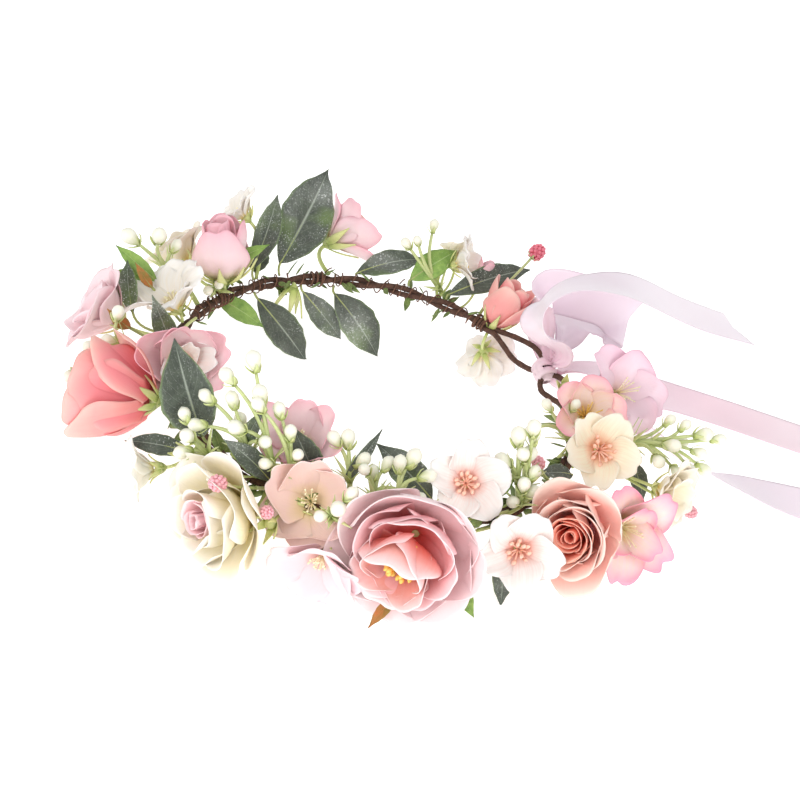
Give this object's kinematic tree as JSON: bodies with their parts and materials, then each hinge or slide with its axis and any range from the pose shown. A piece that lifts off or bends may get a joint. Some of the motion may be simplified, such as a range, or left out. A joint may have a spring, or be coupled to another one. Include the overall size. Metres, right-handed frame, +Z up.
{
  "type": "flower crown",
  "caption": "Flower crown: a ring of two twisted paper-wrapped wires carrying cloth flowers, leaves, bud sprays and berries, tied at the back of the head by a satin ribbon through wire eyes",
  "frame": {"origin": "middle of the crown's footprint on the surface that it rests on, ribbon tails left out", "axes": "+Z up through the open ring, +X towards the ribbon closure at the back of the head, -X towards the brow, -Y the side with the peony"},
  "size_m": [0.3796, 0.2968, 0.0865],
  "materials": {
    "bark": "brown crepe paper wrapped round iron wire, matt",
    "binding": "thin brown lacquered binding wire, satin",
    "satin": "pale lilac-pink polyester satin, soft sheen",
    "coral": "stiffened dyed polyester petals, coral shading to cream pink",
    "pink": "stiffened dyed polyester petals, pink",
    "blush": "stiffened dyed polyester petals, pale blush",
    "white": "stiffened polyester petals, warm white",
    "cream": "stiffened polyester petals, cream",
    "peach": "stiffened dyed polyester petals, peach with cream edges",
    "lilac": "stiffened polyester petals, pale lilac pink",
    "stamen": "moulded stamens with yellow-orange tips",
    "frosted_leaf": "dark grey-green printed cloth leaf with white frosting and a pale midrib",
    "fresh_leaf": "bright green cloth leaf",
    "wax_bud": "waxy white-green moulded buds on yellow-green stems",
    "berry": "red-pink beaded berries on thin stems"
  },
  "bodies": {
    "ring": {"wire_strand_a": "bark", "wire_strand_b": "bark", "ribbon_knot": "satin", "ribbon_bow_loop": "satin", "ribbon_tail_upper": "satin", "ribbon_tail_long": "satin", "ribbon_tail_low": "satin", "binding_wire_right": "binding", "binding_wire_back": "binding", "binding_wire_left": "binding", "peony_stamens": "stamen", "peony_inner_petals": "pink", "peony": "blush", "peach_rose_core": "coral", "peach_rose": "peach", "coral_rose": "coral", "cream_rose": "cream", "pink_blossom_inner": "pink", "pink_tipped_blossom": "pink", "blush_blossom_left": "blush", "white_blossom_left": "white", "pink_rosebud_left": "pink", "pink_blossom_back": "blush", "cream_blossom_back": "cream", "white_blossom_back": "white", "pink_blossom_front_left": "pink", "peach_blossom_front": "peach", "blush_blossom_low": "blush", "white_blossom_inner": "white", "white_blossom_front": "white", "cream_star_blossom": "cream", "pink_blossom_right": "pink", "lilac_blossom_right": "lilac", "cream_blossom_right": "cream", "pink_rosebud_right": "pink", "white_blossom_right_back": "white", "white_blossom_under": "white", "white_daisy_left": "white", "frosted_leaf_inner": "frosted_leaf", "leaf_back_left": "frosted_leaf", "leaf_hanging_left": "frosted_leaf", "leaf_hanging_middle": "frosted_leaf", "leaf_hanging_right": "frosted_leaf", "leaf_back_flat": "frosted_leaf", "leaf_back_bright": "fresh_leaf", "leaf_back_right": "frosted_leaf", "leaf_left_outer": "fresh_leaf", "leaf_left_low": "frosted_leaf", "leaf_front_left": "frosted_leaf", "leaf_front_middle": "frosted_leaf", "leaf_front_low": "frosted_leaf", "bud_spray_inner_left": "wax_bud", "bud_spray_front": "wax_bud", "bud_spray_upright": "wax_bud", "bud_spray_right": "wax_bud", "berry_front_left": "berry", "berry_right": "berry"},
    "tall_leaf": {"frosted_leaf_tall": "frosted_leaf"},
    "back_berry": {"berry_back": "berry"},
    "left_buds": {"bud_spray_left_back": "wax_bud"}
  },
  "joints": [
    {"name": "tall_leaf_bend", "type": "hinge", "parent": "ring", "child": "tall_leaf", "pos_m": [-0.0645, 0.07, 0.0348], "axis": [-0.7771, -0.6293, 0], "range_deg": [-15, 15]},
    {"name": "back_berry_bend", "type": "hinge", "parent": "ring", "child": "back_berry", "pos_m": [0.0321, 0.084, 0.0329], "axis": [-0.9063, 0.4226, 0], "range_deg": [-20, 20]},
    {"name": "left_bud_bend", "type": "hinge", "parent": "ring", "child": "left_buds", "pos_m": [-0.0955, 0.0297, 0.0331], "axis": [-0.3256, -0.9455, 0], "range_deg": [-15, 15]}
  ]
}
